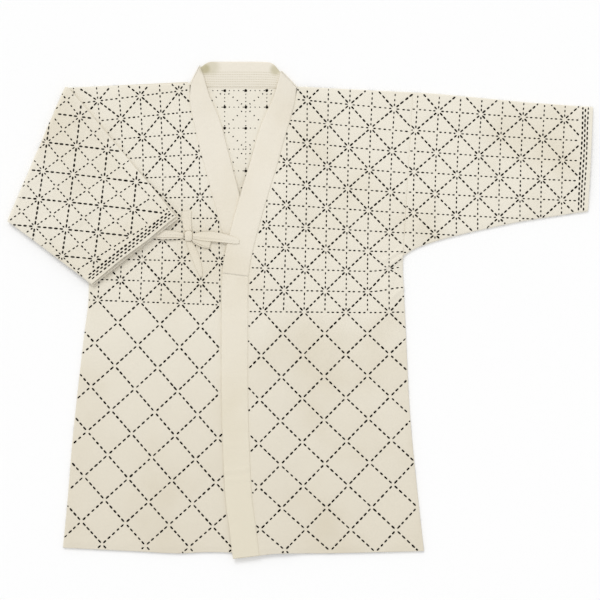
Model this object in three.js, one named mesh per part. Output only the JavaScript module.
// A kendo jacket laid flat on its back: double cotton cloth with sashiko stitching, a folded collar
// strip and a pair of cloth ties in a bow. The jacket's right sleeve is folded forward over the body.
//
// Lengths are in millimetres. X runs across the jacket, from its right sleeve to its left one, Y from
// hem to collar and Z up from the surface that it lies on. The tables are written in garment measure:
// x from the centre back line and y up from the neck seam, so that most y are negative. The group at
// the end moves them so that the origin is the middle of the footprint.
import * as THREE from "three";

// Driving sizes.
const CLOTH = 2.0; // the double sashiko cloth of fronts, back and sleeves
const LAYER_GAP = 0.6; // between two cloths that lie on each other
const SEAM = 0.3; // between two pieces that are sewn together
const QUILT_PUFF = 0.7; // how far the cloth stands up between the crossing stitch lines
const SEAM_FLAT = 12; // the puffs fade out this far from a seam
const COLLAR_WIDTH = 48;
const COLLAR_THICK = 3.6; // four layers of twill round a core
const TIE_THICK = 1.4;
const FOOTPRINT_MIDDLE = { x: 103, y: -399.9 };

const FRONT_REST = CLOTH + LAYER_GAP; // the height of a front's underside where it lies on the back
const BOW_REST = FRONT_REST + CLOTH + QUILT_PUFF + SEAM; // where the bow lies on the right front

// The body's outer edges. Each armhole is the straight stretch above its underarm.
const LEFT_ARMHOLE = { top: { x: 306, y: -8 }, underarm: { x: 288, y: -303 } };
const RIGHT_ARMHOLE = { top: { x: -306, y: 1 }, underarm: { x: -289, y: -296 } };
const LEFT_SIDE = [
  { y: -303, x: 288 },
  { y: -330, x: 288 },
  { y: -412, x: 292 },
  { y: -590, x: 301 },
  { y: -745, x: 316 },
  { y: -834, x: 326 },
];
const RIGHT_SIDE = [
  { y: -296, x: -289 },
  { y: -325, x: -281 },
  { y: -380, x: -279 },
  { y: -454, x: -288 },
  { y: -626, x: -307 },
  { y: -746, x: -317 },
  { y: -828, x: -325 },
];
const LEFT_HEM = [
  { x: 29, y: -842 },
  { x: 59, y: -838.5 },
  { x: 155, y: -838 },
  { x: 326, y: -834 },
];
const RIGHT_HEM = [
  { x: -325, y: -828 },
  { x: -186, y: -834 },
  { x: -120, y: -837 },
  { x: -60, y: -834.5 },
  { x: 50, y: -837 },
];
const BACK_HEM_SHORTER = 3;

// The collar strip, down the jacket's right front, round the neck and down its left front. Each row
// is a section: its middle, the way that it runs from the free edge to the seam edge, in degrees, the
// height of its underside at the middle, and how far that rises to the seam edge, in degrees.
const RIGHT_BAND = [
  { y: -838, x: 12, lean: 180, under: 2.6, rise: 0 },
  { y: -600, x: 14, lean: 180, under: 2.6, rise: 0 },
  { y: -401, x: 13, lean: 178, under: 2.6, rise: 0 },
  { y: -337, x: 8, lean: 188, under: 2.6, rise: 0 },
  { y: -304, x: 0, lean: 194, under: 2.6, rise: 0 },
  { y: -243, x: -17.5, lean: 195, under: 2.6, rise: 0 },
  { y: -203, x: -28, lean: 195, under: 2.6, rise: 0 },
  { y: -160, x: -39.5, lean: 195, under: 2.6, rise: 0 },
  { y: -104, x: -54.5, lean: 194, under: 2.6, rise: 0 },
  { y: -55, x: -66, lean: 197, under: 2.8, rise: 0 },
  { y: -15, x: -75, lean: 210, under: 3.9, rise: 0 },
];
const LEFT_BAND = [
  { y: -10, x: 73.5, lean: -33, under: 3.9, rise: 0 },
  { y: -51, x: 61.5, lean: -18, under: 2.8, rise: 0 },
  { y: -104, x: 46, lean: -16, under: 3.4, rise: 0 },
  { y: -140, x: 36, lean: -16, under: 5.0, rise: 0 },
  { y: -178, x: 24.5, lean: -16, under: 6.8, rise: 0 },
  { y: -253, x: 3, lean: -15, under: 6.8, rise: 0.2 },
  { y: -304, x: -9, lean: -12, under: 6.9, rise: 0.8 },
  { y: -337, x: -13.6, lean: -7, under: 6.8, rise: 1.6 },
  { y: -401, x: -15, lean: -1, under: 6.6, rise: 2.5 },
  { y: -562, x: -14.8, lean: 0, under: 6.5, rise: 2.5 },
  { y: -630, x: -13, lean: 2, under: 6.5, rise: 2.5 },
  { y: -734, x: -8, lean: 5, under: 6.7, rise: 1.8 },
  { y: -803, x: 0.5, lean: 8, under: 6.7, rise: 0.8 },
  { y: -844.5, x: 5.5, lean: 7, under: 6.5, rise: 0 },
];
const COLLAR_END_Y = -337; // below this the strip goes on as a band of its own
// The back of the neck, where the strip's inside shows, and the two folds where it turns over.
// tuck is how much of the strip's free edge is rolled in there, so that it shows narrower.
const LEFT_NECK_FOLD = { x: 79, y: 16, lean: -46, tuck: 5 };
const RIGHT_NECK_FOLD = { x: -83, y: 25, lean: 242, tuck: 8 };
const BACK_NECK = [
  { x: 66, y: 20, lean: -66, tuck: 1 },
  { x: 45, y: 23, lean: -84, tuck: 0 },
  { x: 0, y: 23.5, lean: -90, tuck: 0 },
  { x: -45, y: 23.5, lean: -93, tuck: 0 },
  { x: -70, y: 24, lean: -106, tuck: 1 },
];
const LEFT_TUCK = [
  { y: -60, tuck: 0 },
  { y: -51, tuck: 0 },
  { y: -30, tuck: 4 },
  { y: -10, tuck: 6.5 },
];
const RIGHT_TUCK = [
  { y: -60, tuck: 0 },
  { y: -50, tuck: 0 },
  { y: -35, tuck: 3.5 },
  { y: -15, tuck: 8 },
];

// The left sleeve from armhole to cuff: its fold along the shoulder and its seam under the arm.
const LEFT_SLEEVE = [
  { foldX: 306, foldY: -8, seamX: 288, seamY: -303, mouth: 0 },
  { foldX: 322, foldY: -8.6, seamX: 307, seamY: -291, mouth: 0 },
  { foldX: 342, foldY: -10, seamX: 331, seamY: -281, mouth: 0 },
  { foldX: 392, foldY: -14.5, seamX: 382, seamY: -266.5, mouth: 0 },
  { foldX: 497, foldY: -24.5, seamX: 493, seamY: -242, mouth: 0 },
  { foldX: 580, foldY: -31, seamX: 574, seamY: -229, mouth: 0.3 },
  { foldX: 630, foldY: -34, seamX: 621, seamY: -222, mouth: 1 },
];
const MOUTH_GAP = 2.4; // how much further apart the two layers stand at a cuff
// The right sleeve runs out to a fold line and comes back over the body.
const RIGHT_SLEEVE_OUT = [
  { foldX: -306, foldY: 1, seamX: -289, seamY: -296, mouth: 0 },
  { foldX: -308, foldY: 1, seamX: -310, seamY: -284, mouth: 0 },
  { foldX: -310, foldY: 0.8, seamX: -336, seamY: -272, mouth: 0 },
  { foldX: -312, foldY: 0.7, seamX: -382, seamY: -255, mouth: 0 },
  { foldX: -315, foldY: 0.5, seamX: -420, seamY: -243, mouth: 0 },
];
const RIGHT_SLEEVE_BACK = [
  { foldX: -315, foldY: 0.5, seamX: -420, seamY: -243, lift: 0, mouth: 0 },
  { foldX: -285, foldY: -34, seamX: -397, seamY: -260, lift: 0, mouth: 0 },
  { foldX: -245, foldY: -82, seamX: -362, seamY: -286, lift: 0, mouth: 0 },
  { foldX: -200, foldY: -136, seamX: -325, seamY: -314, lift: 0.9, mouth: 0 },
  { foldX: -158, foldY: -186, seamX: -293, seamY: -338, lift: 2.6, mouth: 0.3 },
  { foldX: -117, foldY: -236, seamX: -270, seamY: -356, lift: 3.5, mouth: 1 },
];
const FOLD_SLACK = 0.7; // half the free height inside the sleeve's fold

// Soft ridges in the cloth, each with its two ends, height and half width.
const RIDGES = {
  left_front: [
    { x1: 292, y1: -300, x2: 250, y2: -322, high: 3.0, wide: 9 },
    { x1: 285, y1: -330, x2: 215, y2: -470, high: 1.6, wide: 22 },
    { x1: 150, y1: -600, x2: 240, y2: -800, high: 1.4, wide: 30 },
    { x1: 120, y1: -60, x2: 190, y2: -210, high: 1.2, wide: 24 },
  ],
  right_front: [
    { x1: -262, y1: -470, x2: -150, y2: -420, high: 1.3, wide: 24 },
    { x1: -240, y1: -700, x2: -130, y2: -790, high: 1.6, wide: 28 },
  ],
  left_sleeve: [
    { x1: 300, y1: -285, x2: 330, y2: -210, high: 2.2, wide: 14 },
    { x1: 350, y1: -40, x2: 470, y2: -70, high: 1.6, wide: 18 },
    { x1: 470, y1: -215, x2: 585, y2: -130, high: 1.4, wide: 22 },
  ],
  right_sleeve: [
    { x1: -370, y1: -150, x2: -250, y2: -120, high: 1.5, wide: 20 },
    { x1: -330, y1: -262, x2: -230, y2: -170, high: 1.4, wide: 18 },
  ],
};

// The diagonal stitch lines that quilt the cloth cross at the points where column plus row is even.
// Columns and rows are half a star apart. On a front, each table row says where one line of crossings
// runs: its y and x at column 0, its slope, the distance between columns there, and how much that
// distance grows with each column.
const LEFT_FRONT_LATTICE = [
  { row: -1, y: 16.8, x: 115.4, slope: -0.094, step: 37.9, spread: 0.48 },
  { row: 0, y: -22.7, x: 115.3, slope: -0.096, step: 37.3, spread: 0.46 },
  { row: 2, y: -99.9, x: 114.9, slope: -0.092, step: 36.5, spread: 0.42 },
  { row: 4, y: -175.8, x: 114.1, slope: -0.077, step: 36.2, spread: 0.38 },
  { row: 6, y: -251.3, x: 113, slope: -0.056, step: 36.2, spread: 0.34 },
  { row: 8, y: -327, x: 111.4, slope: -0.032, step: 36.6, spread: 0.29 },
  { row: 10, y: -403.6, x: 109.6, slope: -0.009, step: 37.3, spread: 0.25 },
  { row: 12, y: -481, x: 107.9, slope: 0.01, step: 38, spread: 0.21 },
  { row: 14, y: -559.2, x: 106.6, slope: 0.021, step: 38.8, spread: 0.17 },
  { row: 16, y: -638, x: 106.4, slope: 0.024, step: 39.6, spread: 0.12 },
  { row: 18, y: -716.7, x: 108, slope: 0.015, step: 40.2, spread: 0.08 },
  { row: 20, y: -794.6, x: 112.2, slope: -0.008, step: 40.6, spread: 0.04 },
  { row: 22, y: -870.5, x: 120.1, slope: -0.046, step: 40.7, spread: 0 },
];
const RIGHT_FRONT_LATTICE = [
  { row: -1, y: 34, x: -117.4, slope: 0.147, step: 33.8, spread: -0.8 },
  { row: 0, y: -5.9, x: -115.6, slope: 0.122, step: 33.4, spread: -0.76 },
  { row: 2, y: -83.6, x: -112.7, slope: 0.076, step: 33, spread: -0.69 },
  { row: 4, y: -159.6, x: -110.8, slope: 0.036, step: 33.2, spread: -0.61 },
  { row: 6, y: -235.1, x: -110.1, slope: 0.004, step: 33.9, spread: -0.54 },
  { row: 8, y: -311.1, x: -110.5, slope: -0.021, step: 34.8, spread: -0.46 },
  { row: 10, y: -388.1, x: -112, slope: -0.038, step: 35.9, spread: -0.38 },
  { row: 12, y: -466.5, x: -114.5, slope: -0.048, step: 37, spread: -0.31 },
  { row: 14, y: -546, x: -118.1, slope: -0.052, step: 38.1, spread: -0.23 },
  { row: 16, y: -626.4, x: -122.6, slope: -0.052, step: 38.9, spread: -0.16 },
  { row: 18, y: -706.9, x: -127.8, slope: -0.048, step: 39.4, spread: -0.08 },
  { row: 20, y: -786.5, x: -133.6, slope: -0.04, step: 39.4, spread: 0 },
  { row: 22, y: -863.8, x: -139.9, slope: -0.029, step: 38.9, spread: 0.07 },
];
// A sleeve's lattice is a crossing point and the steps to the next column and row. The cloth lies a
// little skewed, so the steps change with the column, with the row, and with both together.
const LEFT_SLEEVE_LATTICE = {
  start: { x: 273.8, y: -35.6 },
  column: { x: 39.1, y: -3.36 },
  row: { x: -2.52, y: -38.07 },
  columnBend: { x: -0.13, y: 0.087 },
  rowBend: { x: 0.23, y: 0.147 },
  twist: { x: 0.042, y: 0.144 },
};
const RIGHT_SLEEVE_LATTICE = {
  start: { x: -299.1, y: -105 },
  column: { x: 24.14, y: -29.14 },
  row: { x: 30.06, y: 22.65 },
  columnBend: { x: 0.366, y: 0.147 },
  rowBend: { x: -0.059, y: -0.025 },
  twist: { x: 0.448, y: -0.461 },
};

// The bow. Each strip is a row of sections: middle, width, height of the underside and the way across.
const KNOT = { x: -98, y: -267, halfX: 8.2, halfY: 9, low: BOW_REST, high: 12.6 };
const TIE_STRIPS = {
  tie_left: [
    { x: -6, y: -275, width: 14, under: 11.2, across: -84 },
    { x: -22, y: -273.5, width: 14.5, under: 11.1, across: -85 },
    { x: -34, y: -272, width: 14.5, under: 10.4, across: -85 },
    { x: -52, y: -269.5, width: 15, under: 9.5, across: -86 },
    { x: -72, y: -268, width: 14.5, under: 9.2, across: -88 },
    { x: -89.4, y: -267, width: 11, under: 9.2, across: -90 },
  ],
  tie_right: [
    { x: -101.5, y: -222, width: 16.5, under: BOW_REST, across: 4 },
    { x: -102, y: -235, width: 16.5, under: BOW_REST, across: 2 },
    { x: -100.5, y: -248, width: 15, under: BOW_REST + 0.4, across: 0 },
    { x: -98.5, y: -257.6, width: 12.5, under: BOW_REST + 1, across: 0 },
  ],
  tail: [
    { x: -97.4, y: -276.6, width: 11.5, under: BOW_REST + 0.6, across: 4 },
    { x: -92, y: -288, width: 13.5, under: BOW_REST, across: 22 },
    { x: -85, y: -304, width: 12, under: BOW_REST, across: 20 },
    { x: -79.5, y: -322, width: 10.5, under: BOW_REST, across: 14 },
    { x: -75.5, y: -340, width: 8.5, under: BOW_REST, across: 10 },
  ],
};
const LOOPS = {
  loop_left: { fromX: -106.6, fromY: -266.5, toX: -166, toY: -263, width: 14, under: BOW_REST, plump: 0.4 },
  loop_right: { fromX: -89.4, fromY: -271, toX: -58, toY: -278, width: 15, under: BOW_REST, plump: 0.4 },
};

const radians = THREE.MathUtils.degToRad;
const lerp = THREE.MathUtils.lerp;

// Reads a table at a value of one of its columns, with a smooth curve through the rows. The rows run
// up or down in that column.
function readTable(rows, key, value) {
  const up = rows[rows.length - 1][key] > rows[0][key];
  let k = 0;
  while (k < rows.length - 2 && (up ? value > rows[k + 1][key] : value < rows[k + 1][key])) k += 1;
  const [a, b] = [rows[k], rows[k + 1]];
  const before = rows[Math.max(k - 1, 0)];
  const after = rows[Math.min(k + 2, rows.length - 1)];
  const span = b[key] - a[key];
  const t = THREE.MathUtils.clamp((value - a[key]) / span, 0, 1);
  const read = { [key]: value };
  for (const column of Object.keys(a).filter((name) => name !== key)) {
    const startSlope = ((b[column] - before[column]) / (b[key] - before[key])) * span;
    const endSlope = ((after[column] - a[column]) / (after[key] - a[key])) * span;
    read[column] =
      (2 * t ** 3 - 3 * t ** 2 + 1) * a[column] +
      (t ** 3 - 2 * t ** 2 + t) * startSlope +
      (3 * t ** 2 - 2 * t ** 3) * b[column] +
      (t ** 3 - t ** 2) * endSlope;
  }
  return read;
}

// Reads a table by row number, with straight lines between the rows.
function readRow(rows, place) {
  const k = Math.min(Math.floor(place), rows.length - 2);
  const read = {};
  for (const column of Object.keys(rows[k])) {
    read[column] = lerp(rows[k][column], rows[k + 1][column], place - k);
  }
  return read;
}

// How high a piece's ridges lift a point. A ridge is a soft hump that fades out at its two ends.
function ridgeHeight(ridges, x, y) {
  let height = 0;
  for (const { x1, y1, x2, y2, high, wide } of ridges) {
    const [dx, dy] = [x2 - x1, y2 - y1];
    const along = ((x - x1) * dx + (y - y1) * dy) / (dx * dx + dy * dy);
    const aside = ((x - x1) * dy - (y - y1) * dx) / Math.hypot(dx, dy) / wide;
    const ends = Math.max(0, 1 - (2 * along - 1) ** 2);
    height += high * ends * Math.exp(-aside * aside);
  }
  return height;
}

// The column and row of a point on a front's lattice, by a few rounds of reading its table at the
// height that the point has at column 0.
const PLACE_ROUNDS = 4;
function frontPlace(lattice, x, y) {
  let line = readTable(lattice, "y", y);
  let column = 0;
  for (let round = 0; round < PLACE_ROUNDS; round += 1) {
    line = readTable(lattice, "y", y - line.slope * (x - line.x));
    column = (x - line.x) / (line.step + line.spread * column);
  }
  return { column, row: line.row };
}

// The column and row of a point on a sleeve's lattice: its even steps first, and then their bends.
function sleevePlace({ start, column, row, columnBend, rowBend, twist }, x, y) {
  const across = column.x * row.y - column.y * row.x;
  let place = { column: 0, row: 0 };
  for (let round = 0; round < PLACE_ROUNDS; round += 1) {
    const [c, r] = [place.column, place.row];
    const bent = (axis) => c * c * columnBend[axis] + r * r * rowBend[axis] + c * r * twist[axis];
    const [dx, dy] = [x - start.x - bent("x"), y - start.y - bent("y")];
    place = {
      column: (dx * row.y - dy * row.x) / across,
      row: (column.x * dy - column.y * dx) / across,
    };
  }
  return place;
}

// How far a quilted cloth stands up at a place of its lattice: none on the diagonal lines.
function quiltHeight({ column, row }) {
  const [one, other] = [Math.sin((Math.PI * (column + row)) / 2), Math.sin((Math.PI * (column - row)) / 2)];
  return QUILT_PUFF * Math.abs(one * other) ** 0.7;
}

// A closed geometry from points and triangles, turned so that its faces point out.
function solid(points, triangles) {
  let volume = 0;
  const [a, b, c] = [new THREE.Vector3(), new THREE.Vector3(), new THREE.Vector3()];
  for (const [i, j, k] of triangles) {
    volume += a.fromArray(points[i]).dot(b.fromArray(points[j]).cross(c.fromArray(points[k])));
  }
  const index = triangles.flatMap(([i, j, k]) => (volume > 0 ? [i, j, k] : [i, k, j]));
  const geometry = new THREE.BufferGeometry();
  geometry.setAttribute("position", new THREE.Float32BufferAttribute(points.flat(), 3));
  geometry.setIndex(index);
  geometry.computeVertexNormals();
  return geometry;
}

// A cloth panel: a grid of points for its upper face and one for its lower face, joined at the rim.
function panelWall(rows, columns, upper, lower) {
  const points = [];
  for (const face of [upper, lower]) {
    for (let i = 0; i <= rows; i += 1) {
      for (let j = 0; j <= columns; j += 1) points.push(face(j / columns, i / rows));
    }
  }
  const at = (face, i, j) => (face * (rows + 1) + i) * (columns + 1) + j;
  const triangles = [];
  const quad = (a, b, c, d) => triangles.push([a, b, c], [a, c, d]);
  for (let i = 0; i < rows; i += 1) {
    for (let j = 0; j < columns; j += 1) {
      quad(at(0, i, j), at(0, i, j + 1), at(0, i + 1, j + 1), at(0, i + 1, j));
      quad(at(1, i, j), at(1, i + 1, j), at(1, i + 1, j + 1), at(1, i, j + 1));
    }
    quad(at(1, i + 1, 0), at(1, i, 0), at(0, i, 0), at(0, i + 1, 0));
    quad(at(1, i, columns), at(1, i + 1, columns), at(0, i + 1, columns), at(0, i, columns));
  }
  for (let j = 0; j < columns; j += 1) {
    quad(at(1, 0, j), at(1, 0, j + 1), at(0, 0, j + 1), at(0, 0, j));
    quad(at(1, rows, j + 1), at(1, rows, j), at(0, rows, j), at(0, rows, j + 1));
  }
  return solid(points, triangles);
}

// A tube of cloth: each section is an outer and an inner ring of the same number of points.
function tubeWall(sections) {
  const around = sections[0].outer.length;
  const points = sections.flatMap(({ outer, inner }) => [...outer, ...inner]);
  const at = (section, wall, k) => (section * 2 + wall) * around + (k % around);
  const triangles = [];
  const quad = (a, b, c, d) => triangles.push([a, b, c], [a, c, d]);
  for (let k = 0; k < around; k += 1) {
    for (let s = 0; s < sections.length - 1; s += 1) {
      quad(at(s, 0, k), at(s, 0, k + 1), at(s + 1, 0, k + 1), at(s + 1, 0, k));
      quad(at(s, 1, k + 1), at(s, 1, k), at(s + 1, 1, k), at(s + 1, 1, k + 1));
    }
    const last = sections.length - 1;
    quad(at(0, 1, k), at(0, 1, k + 1), at(0, 0, k + 1), at(0, 0, k));
    quad(at(last, 0, k), at(last, 0, k + 1), at(last, 1, k + 1), at(last, 1, k));
  }
  return solid(points, triangles);
}

// A solid strip through rings of the same number of points, closed by a flat fan at each end.
function stripSolid(rings) {
  const around = rings[0].length;
  const points = rings.flat();
  const triangles = [];
  for (let s = 0; s < rings.length - 1; s += 1) {
    for (let k = 0; k < around; k += 1) {
      const [a, b] = [s * around + k, s * around + ((k + 1) % around)];
      triangles.push([a, b, b + around], [a, b + around, a + around]);
    }
  }
  const last = (rings.length - 1) * around;
  for (let k = 1; k < around - 1; k += 1) {
    triangles.push([0, k + 1, k], [last, last + k, last + k + 1]);
  }
  return solid(points, triangles);
}

// The collar strip's section as a ring: flat faces, and edges that are rounded by a chamfer.
// The strip's outer face looks along the section's normal, which turns over at the neck folds.
const COLLAR_CHAMFER = 0.9;
function collarRing({ x, y, z, lean, face, rise = 0, tuck = 0 }) {
  const across = [Math.cos(radians(lean)), Math.sin(radians(lean))];
  const lift = Math.tan(radians(rise));
  const normal = [
    -across[1] * Math.sin(radians(face)),
    across[0] * Math.sin(radians(face)),
    -Math.cos(radians(face)),
  ];
  const [w, t, c] = [COLLAR_WIDTH / 2, COLLAR_THICK / 2, COLLAR_CHAMFER];
  const free = -w + tuck;
  const profile = [
    [free, -t + c],
    [free + c, -t],
    [0, -t],
    [w - c, -t],
    [w, -t + c],
    [w, t - c],
    [w - c, t],
    [0, t],
    [free + c, t],
    [free, t - c],
  ];
  return profile.map(([a, b]) => [
    x + a * across[0] + b * normal[0],
    y + a * across[1] + b * normal[1],
    z + a * lift + b * normal[2],
  ]);
}

const bandSection = (band, y, face) => {
  const row = readTable(band, "y", y);
  return { ...row, z: row.under + COLLAR_THICK / 2, face };
};
const steps = (from, to, count) => Array.from({ length: count + 1 }, (_, k) => lerp(from, to, k / count));

// The sections of a neck fold, where the strip rolls over on itself. turn is 1 at the left fold.
const NECK_ROLL = COLLAR_THICK / 2 + SEAM;
function neckFold({ x, y, lean, tuck }, turn) {
  return steps(180, 0, 6).map((face) => {
    const out = NECK_ROLL * Math.sin(radians(face)) * turn;
    return {
      x: x - out * Math.sin(radians(lean)),
      y: y + out * Math.cos(radians(lean)),
      z: COLLAR_THICK / 2 + NECK_ROLL * (1 - Math.cos(radians(face))),
      lean,
      face: face * turn,
      tuck,
    };
  });
}

function collar() {
  const tucked = (section, rows) => ({ ...section, tuck: readTable(rows, "y", section.y).tuck });
  const left = [...steps(COLLAR_END_Y, -51, 15), -30, -10].map((y) =>
    tucked(bandSection(LEFT_BAND, y, 180), LEFT_TUCK),
  );
  const right = [-15, -35, ...steps(-55, COLLAR_END_Y, 17)].map((y) =>
    tucked(bandSection(RIGHT_BAND, y, -180), RIGHT_TUCK),
  );
  const turned = (row) => ({ ...row, lean: row.lean - 360 });
  const back = BACK_NECK.map((row) => ({ ...row, z: COLLAR_THICK / 2, face: 0 }));
  return stripSolid(
    [
      ...left,
      ...neckFold(LEFT_NECK_FOLD, 1),
      ...back,
      ...neckFold(turned(RIGHT_NECK_FOLD), -1).reverse(),
      ...right.map(turned),
    ].map(collarRing),
  );
}

function lowerBand(band, hemY, count) {
  const heights = steps(COLLAR_END_Y - SEAM, hemY, count);
  return stripSolid(heights.map((y) => collarRing(bandSection(band, y, 180))));
}

// The seam edge of a band, a seam's gap outside it, with the height of the band's underside there.
function seamEdge(band) {
  return steps(band[0].y, band[band.length - 1].y, 60).map((y) => {
    const row = readTable(band, "y", y);
    return {
      y: y + (COLLAR_WIDTH / 2 + SEAM) * Math.sin(radians(row.lean)),
      x: row.x + (COLLAR_WIDTH / 2 + SEAM) * Math.cos(radians(row.lean)),
      under: row.under + (COLLAR_WIDTH / 2) * Math.tan(radians(row.rise)),
    };
  });
}
const LEFT_SEAM = seamEdge(LEFT_BAND);
const RIGHT_SEAM = seamEdge(RIGHT_BAND);

// A point of a patch between four edges, each a function of its own share from 0 to 1.
function patch(bottom, top, left, right, u, v) {
  const mix = (name) => {
    const corners =
      (1 - v) * lerp(bottom(0)[name], bottom(1)[name], u) + v * lerp(top(0)[name], top(1)[name], u);
    return (
      lerp(bottom(u)[name], top(u)[name], v) + lerp(left(v)[name], right(v)[name], u) - corners
    );
  };
  return { x: mix("x"), y: mix("y") };
}

// The straight armhole above the underarm and the curved side below it, from hem to shoulder.
const UNDERARM_SHARE = 28 / 44;
function sideEdge(side, armhole, v) {
  const { top, underarm } = armhole;
  const inward = top.x > 0 ? -SEAM : SEAM;
  if (v < UNDERARM_SHARE) {
    const y = lerp(side[side.length - 1].y, underarm.y, v / UNDERARM_SHARE);
    return { y, x: readTable(side, "y", y).x + inward };
  }
  const share = (v - UNDERARM_SHARE) / (1 - UNDERARM_SHARE);
  return { y: lerp(underarm.y, top.y, share), x: lerp(underarm.x, top.x, share) + inward };
}

// The two front panels as patches over (u, v), with u across and v from hem to shoulder.
function leftFrontPoint(u, v) {
  const inner = (share) => {
    const y = lerp(LEFT_HEM[0].y, 2.5, share);
    return { y, x: readTable(LEFT_SEAM, "y", y).x + Math.max(y + 24, 0) * 0.25 };
  };
  const outer = (share) => sideEdge(LEFT_SIDE, LEFT_ARMHOLE, share);
  const hem = (share) => {
    const x = lerp(inner(0).x, outer(0).x, share);
    return { x, y: readTable(LEFT_HEM, "x", x).y };
  };
  const shoulder = (share) => ({
    x: lerp(inner(1).x, outer(1).x, share),
    y: lerp(inner(1).y, outer(1).y, share),
  });
  return patch(hem, shoulder, inner, outer, u, v);
}

function rightFrontPoint(u, v) {
  const inner = (share) => {
    const y = lerp(RIGHT_HEM[RIGHT_HEM.length - 1].y, 9, share);
    return { y, x: readTable(RIGHT_SEAM, "y", y).x - Math.max(y + 36, 0) * 0.07 };
  };
  const outer = (share) => sideEdge(RIGHT_SIDE, RIGHT_ARMHOLE, share);
  const hem = (share) => {
    const x = lerp(outer(0).x, inner(0).x, share);
    return { x, y: readTable(RIGHT_HEM, "x", x).y };
  };
  const shoulder = (share) => ({
    x: lerp(outer(1).x, inner(1).x, share),
    y: lerp(outer(1).y, inner(1).y, share),
  });
  return patch(hem, shoulder, outer, inner, u, v);
}

// The left front is carried by the right front's band along the middle and comes down beside it.
const CARRIED = 30;
const COMING_DOWN = 70;
function leftFrontUnder(x, y) {
  const seam = readTable(LEFT_SEAM, "y", y);
  const away = THREE.MathUtils.smoothstep(x - seam.x, CARRIED, CARRIED + COMING_DOWN);
  return lerp(Math.max(seam.under, FRONT_REST), FRONT_REST, away);
}

// Toward its outer edge a front comes down to the back that it is sewn to.
const EDGE_ROLL = 6;
const edgeDrop = (u, width, edgeAtEnd) => {
  const distance = (edgeAtEnd ? 1 - u : u) * width;
  return (LAYER_GAP - SEAM) * (1 - THREE.MathUtils.smoothstep(distance, 0, EDGE_ROLL));
};

// A front's puffs fade out at its four edges: the band seam, the side, the shoulder and the hem.
const FRONT_WIDTH = 300;
const FRONT_LENGTH = 840;
const awayFromEdges = (u, v) =>
  [u * FRONT_WIDTH, (1 - u) * FRONT_WIDTH, v * FRONT_LENGTH, (1 - v) * FRONT_LENGTH].reduce(
    (share, distance) => share * THREE.MathUtils.smoothstep(distance, 0, SEAM_FLAT),
    1,
  );

function leftFront() {
  const lower = (u, v) => {
    const { x, y } = leftFrontPoint(u, v);
    const rise = ridgeHeight(RIDGES.left_front, x, y) - edgeDrop(u, FRONT_WIDTH, true);
    return [x, y, leftFrontUnder(x, y) + rise];
  };
  const upper = (u, v) => {
    const [x, y, z] = lower(u, v);
    const puff = quiltHeight(frontPlace(LEFT_FRONT_LATTICE, x, y)) * awayFromEdges(u, v);
    return [x, y, z + CLOTH + puff];
  };
  return panelWall(44, 17, upper, lower);
}

function rightFront() {
  const lower = (u, v) => {
    const { x, y } = rightFrontPoint(u, v);
    const rise = ridgeHeight(RIDGES.right_front, x, y) - edgeDrop(u, FRONT_WIDTH, false);
    return [x, y, FRONT_REST + rise];
  };
  const upper = (u, v) => {
    const [x, y, z] = lower(u, v);
    const puff = quiltHeight(frontPlace(RIGHT_FRONT_LATTICE, x, y)) * awayFromEdges(u, v);
    return [x, y, z + CLOTH + puff];
  };
  return panelWall(44, 16, upper, lower);
}

// The back's upper edge: two shoulders, and the neck seam that the collar strip is sewn to.
const BACK_TOP = [
  { x: -306, y: 1 },
  { x: -100, y: 11 },
  { x: -98.3, y: 2.8 },
  { x: -92, y: 2.5 },
  { x: -70, y: -0.6 },
  { x: -40, y: -1 },
  { x: 40, y: -1.4 },
  { x: 70, y: -2.6 },
  { x: 94, y: -4.5 },
  { x: 99.6, y: -3.5 },
  { x: 101, y: 2.5 },
  { x: 306, y: -8 },
];
function back() {
  const left = (v) => sideEdge(RIGHT_SIDE, RIGHT_ARMHOLE, v);
  const right = (v) => sideEdge(LEFT_SIDE, LEFT_ARMHOLE, v);
  const hem = (u) => {
    const x = lerp(left(0).x, right(0).x, u);
    return { x, y: lerp(left(0).y, right(0).y, u) + BACK_HEM_SHORTER * Math.sin(Math.PI * u) };
  };
  const knots = [-306, -203, ...BACK_TOP.slice(1, -1).map((row) => row.x), 204, 306];
  const edgeRow = (x) => {
    const k = Math.min(Math.max(BACK_TOP.findIndex((row) => row.x >= x), 1), BACK_TOP.length - 1);
    const [a, b] = [BACK_TOP[k - 1], BACK_TOP[k]];
    return lerp(a.y, b.y, (x - a.x) / (b.x - a.x));
  };
  const columns = knots.map((x) => (x - knots[0]) / (knots[knots.length - 1] - knots[0]));
  const top = (u) => {
    const x = lerp(left(1).x, right(1).x, u);
    return { x, y: u === 0 ? left(1).y : u === 1 ? right(1).y : edgeRow(lerp(-306, 306, u)) };
  };
  const face = (z) => (share, v) => {
    const u = columns[Math.round(share * (columns.length - 1))];
    const { x, y } = patch(hem, top, left, right, u, v);
    return [x, y, z];
  };
  return panelWall(22, columns.length - 1, face(CLOTH), face(0));
}

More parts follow.
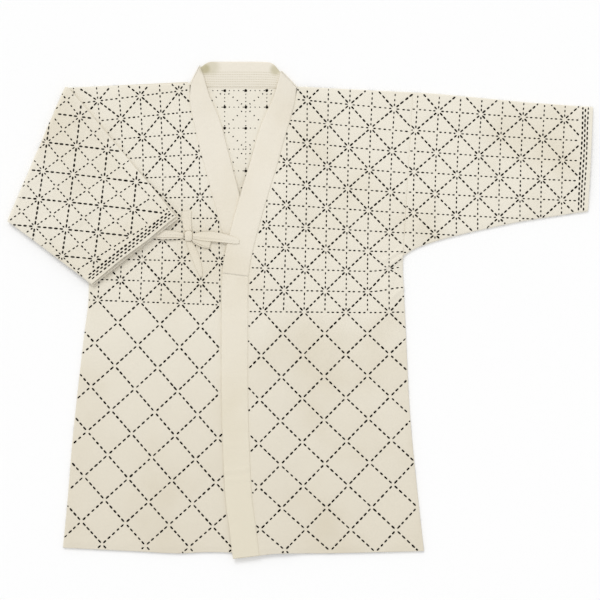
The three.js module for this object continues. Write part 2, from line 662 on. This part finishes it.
// A sleeve's section as a pair of flattened rings, from its fold to its underarm seam and back. up is
// the way that its front layer looks, and middle the point between its layers: how far out it lies,
// and its height. gap is how much further apart the layers stand, and puff the share of the quilting.
const ACROSS = 13;
const END_TURN = 3;
const SLEEVE_HALF = CLOTH + LAYER_GAP / 2;
function sleeveSection(row, middle, up, { gap = 0, puff = 0, ridges = [], lattice = null } = {}) {
  const width = Math.hypot(row.seamX - row.foldX, row.seamY - row.foldY);
  const across = [(row.seamX - row.foldX) / width, (row.seamY - row.foldY) / width];
  const raise = (x, y, share, puffed) => {
    const edge = Math.min(share, 1 - share) * width;
    const quilt = puffed > 0 ? puffed * quiltHeight(sleevePlace(lattice, x, y)) : 0;
    const bulge = gap * Math.sin(Math.PI * share) + ridgeHeight(ridges, x, y);
    return bulge + quilt * THREE.MathUtils.smoothstep(edge, 0, SEAM_FLAT);
  };
  const ring = (half, puffed) => {
    const profile = [];
    for (const side of [1, -1]) {
      for (let k = 0; k <= ACROSS; k += 1) {
        const share = side > 0 ? k / ACROSS : 1 - k / ACROSS;
        profile.push({ a: SLEEVE_HALF + share * (width - 2 * SLEEVE_HALF), b: half * side, share });
      }
      for (let k = 1; k < END_TURN; k += 1) {
        const angle = (Math.PI * k) / END_TURN;
        const reach = SLEEVE_HALF - Math.sin(angle) * half;
        const share = side > 0 ? 1 : 0;
        profile.push({ a: side > 0 ? width - reach : reach, b: half * side * Math.cos(angle), share });
      }
    }
    return profile.map(({ a, b, share }) => {
      const [x, y] = [row.foldX + a * across[0], row.foldY + a * across[1]];
      const raised = b * up[2] > 0 ? raise(x, y, share, puffed) : 0;
      return [
        x + b * up[0] + middle.out[0],
        y + b * up[1] + middle.out[1],
        middle.z + b * up[2] + raised,
      ];
    });
  };
  return { outer: ring(SLEEVE_HALF, puff), inner: ring(LAYER_GAP / 2, 0) };
}

const FLAT = [0, 0, 1];
const TURNED = [0, 0, -1];

function leftSleeve() {
  const count = 18;
  return tubeWall(
    steps(0, 1, count).map((share) => {
      const foldX = lerp(LEFT_SLEEVE[0].foldX, LEFT_SLEEVE[LEFT_SLEEVE.length - 1].foldX, share);
      const row = readTable(LEFT_SLEEVE, "foldX", foldX);
      const look = { gap: row.mouth * MOUTH_GAP, puff: share === 0 || share === 1 ? 0 : 1 };
      const middle = { z: SLEEVE_HALF, out: [0, 0] };
      return sleeveSection(row, middle, FLAT, {
        ...look,
        ridges: RIDGES.left_sleeve,
        lattice: LEFT_SLEEVE_LATTICE,
      });
    }),
  );
}

// The right sleeve lies flat as far as its fold line, rolls over it and comes back on top.
function rightSleeve() {
  const axis = 2 * SLEEVE_HALF + FOLD_SLACK;
  const radius = axis - SLEEVE_HALF;
  const fold = RIGHT_SLEEVE_BACK[0];
  const length = Math.hypot(fold.seamX - fold.foldX, fold.seamY - fold.foldY);
  const outward = [(fold.seamY - fold.foldY) / length, -(fold.seamX - fold.foldX) / length];
  const rest = { z: SLEEVE_HALF, out: [0, 0] };
  const out = steps(0, RIGHT_SLEEVE_OUT.length - 1, 4).map((place) =>
    sleeveSection(readRow(RIGHT_SLEEVE_OUT, place), rest, FLAT),
  );
  const roll = steps(0, 180, 8)
    .slice(1, -1)
    .map((angle) => {
      const [s, c] = [Math.sin(radians(angle)), Math.cos(radians(angle))];
      const middle = { z: axis - radius * c, out: [outward[0] * radius * s, outward[1] * radius * s] };
      return sleeveSection(fold, middle, [-outward[0] * s, -outward[1] * s, c]);
    });
  const count = 16;
  const returned = steps(0, 1, count).map((share) => {
    const row = readRow(RIGHT_SLEEVE_BACK, share * (RIGHT_SLEEVE_BACK.length - 1));
    const middle = { z: axis + radius + row.lift, out: [0, 0] };
    return sleeveSection(row, middle, TURNED, {
      gap: row.mouth * MOUTH_GAP,
      puff: share === 0 || share === 1 ? 0 : 1,
      ridges: RIDGES.right_sleeve,
      lattice: RIGHT_SLEEVE_LATTICE,
    });
  });
  return tubeWall([...out, ...roll, ...returned]);
}

// A flat tie strip's ring: a thin rectangle across the strip.
function tieRing({ x, y, width, under, across }) {
  const [c, s] = [Math.cos(radians(across)) / 2, Math.sin(radians(across)) / 2];
  const corner = (side, z) => [x + side * width * c, y + side * width * s, z];
  const top = under + TIE_THICK;
  return [corner(-1, under), corner(1, under), corner(1, top), corner(-1, top)];
}

function tieStrip(rows) {
  const places = steps(0, rows.length - 1, (rows.length - 1) * 2);
  return stripSolid(places.map((p) => tieRing(readRow(rows, p))));
}

// A bow's loop: the strip runs out along the cloth, turns over and comes back on itself.
function tieLoop({ fromX, fromY, toX, toY, width, under, plump }) {
  const length = Math.hypot(toX - fromX, toY - fromY);
  const along = [(toX - fromX) / length, (toY - fromY) / length];
  const inner = plump / 2;
  const bend = steps(-90, 90, 6);
  const side = [-along[1], along[0]];
  const middle = under + TIE_THICK + inner;
  const ring = (distance, half, outerAngle) => {
    const [c, s] = [Math.cos(radians(outerAngle)), Math.sin(radians(outerAngle))];
    const point = (across, radius) => {
      const out = distance + radius * c;
      return [
        fromX + along[0] * out + side[0] * across,
        fromY + along[1] * out + side[1] * across,
        middle + radius * s,
      ];
    };
    return [
      point(-half, inner),
      point(half, inner),
      point(half, inner + TIE_THICK),
      point(-half, inner + TIE_THICK),
    ];
  };
  const straight = length - inner - TIE_THICK;
  const halfAt = (share) => (width / 2) * (0.72 + 0.28 * Math.sin((Math.PI * Math.min(share, 0.75)) / 1.5));
  const outward = steps(0, 1, 4).slice(0, -1);
  return stripSolid([
    ...outward.map((share) => ring(share * straight, halfAt(share), -90)),
    ...bend.map((angle) => ring(straight, halfAt(1), angle)),
    ...outward.reverse().map((share) => ring(share * straight, halfAt(share), 90)),
  ]);
}

// The knot: a plump pillow of wrapped strip, made of rings that swell to its middle height.
function knot() {
  const levels = steps(-1, 1, 6);
  const rings = levels.map((level) => {
    const swell = 0.72 + 0.28 * Math.sqrt(1 - level * level);
    return steps(0, 360, 16)
      .slice(0, -1)
      .map((angle) => {
        const [c, s] = [Math.cos(radians(angle)), Math.sin(radians(angle))];
        const square = (value) => Math.sign(value) * Math.abs(value) ** 0.6;
        return [
          KNOT.x + KNOT.halfX * swell * square(c),
          KNOT.y + KNOT.halfY * swell * square(s),
          lerp(KNOT.low, KNOT.high, (level + 1) / 2),
        ];
      });
  });
  return stripSolid(rings);
}

// Finishes.
const SASHIKO = { color: 0xece5d5, roughness: 0.92, metalness: 0 };
const TWILL = { color: 0xebe4d0, roughness: 0.88, metalness: 0 };
const PIECES = [
  ["back", back(), SASHIKO],
  ["right_front", rightFront(), SASHIKO],
  ["left_front", leftFront(), SASHIKO],
  ["right_sleeve", rightSleeve(), SASHIKO],
  ["left_sleeve", leftSleeve(), SASHIKO],
  ["collar", collar(), TWILL],
  ["right_band", lowerBand(RIGHT_BAND, RIGHT_BAND[0].y, 20), TWILL],
  ["left_band", lowerBand(LEFT_BAND, LEFT_BAND[LEFT_BAND.length - 1].y, 16), TWILL],
  ["knot", knot(), TWILL],
  ...Object.entries(TIE_STRIPS).map(([name, rows]) => [name, tieStrip(rows), TWILL]),
  ...Object.entries(LOOPS).map(([name, loop]) => [name, tieLoop(loop), TWILL]),
];

const jacket = new THREE.Group();
for (const [name, geometry, finish] of PIECES) {
  const mesh = new THREE.Mesh(geometry, new THREE.MeshStandardMaterial(finish));
  mesh.name = name;
  jacket.add(mesh);
}
jacket.position.set(-FOOTPRINT_MIDDLE.x, -FOOTPRINT_MIDDLE.y, 0);

export default jacket;
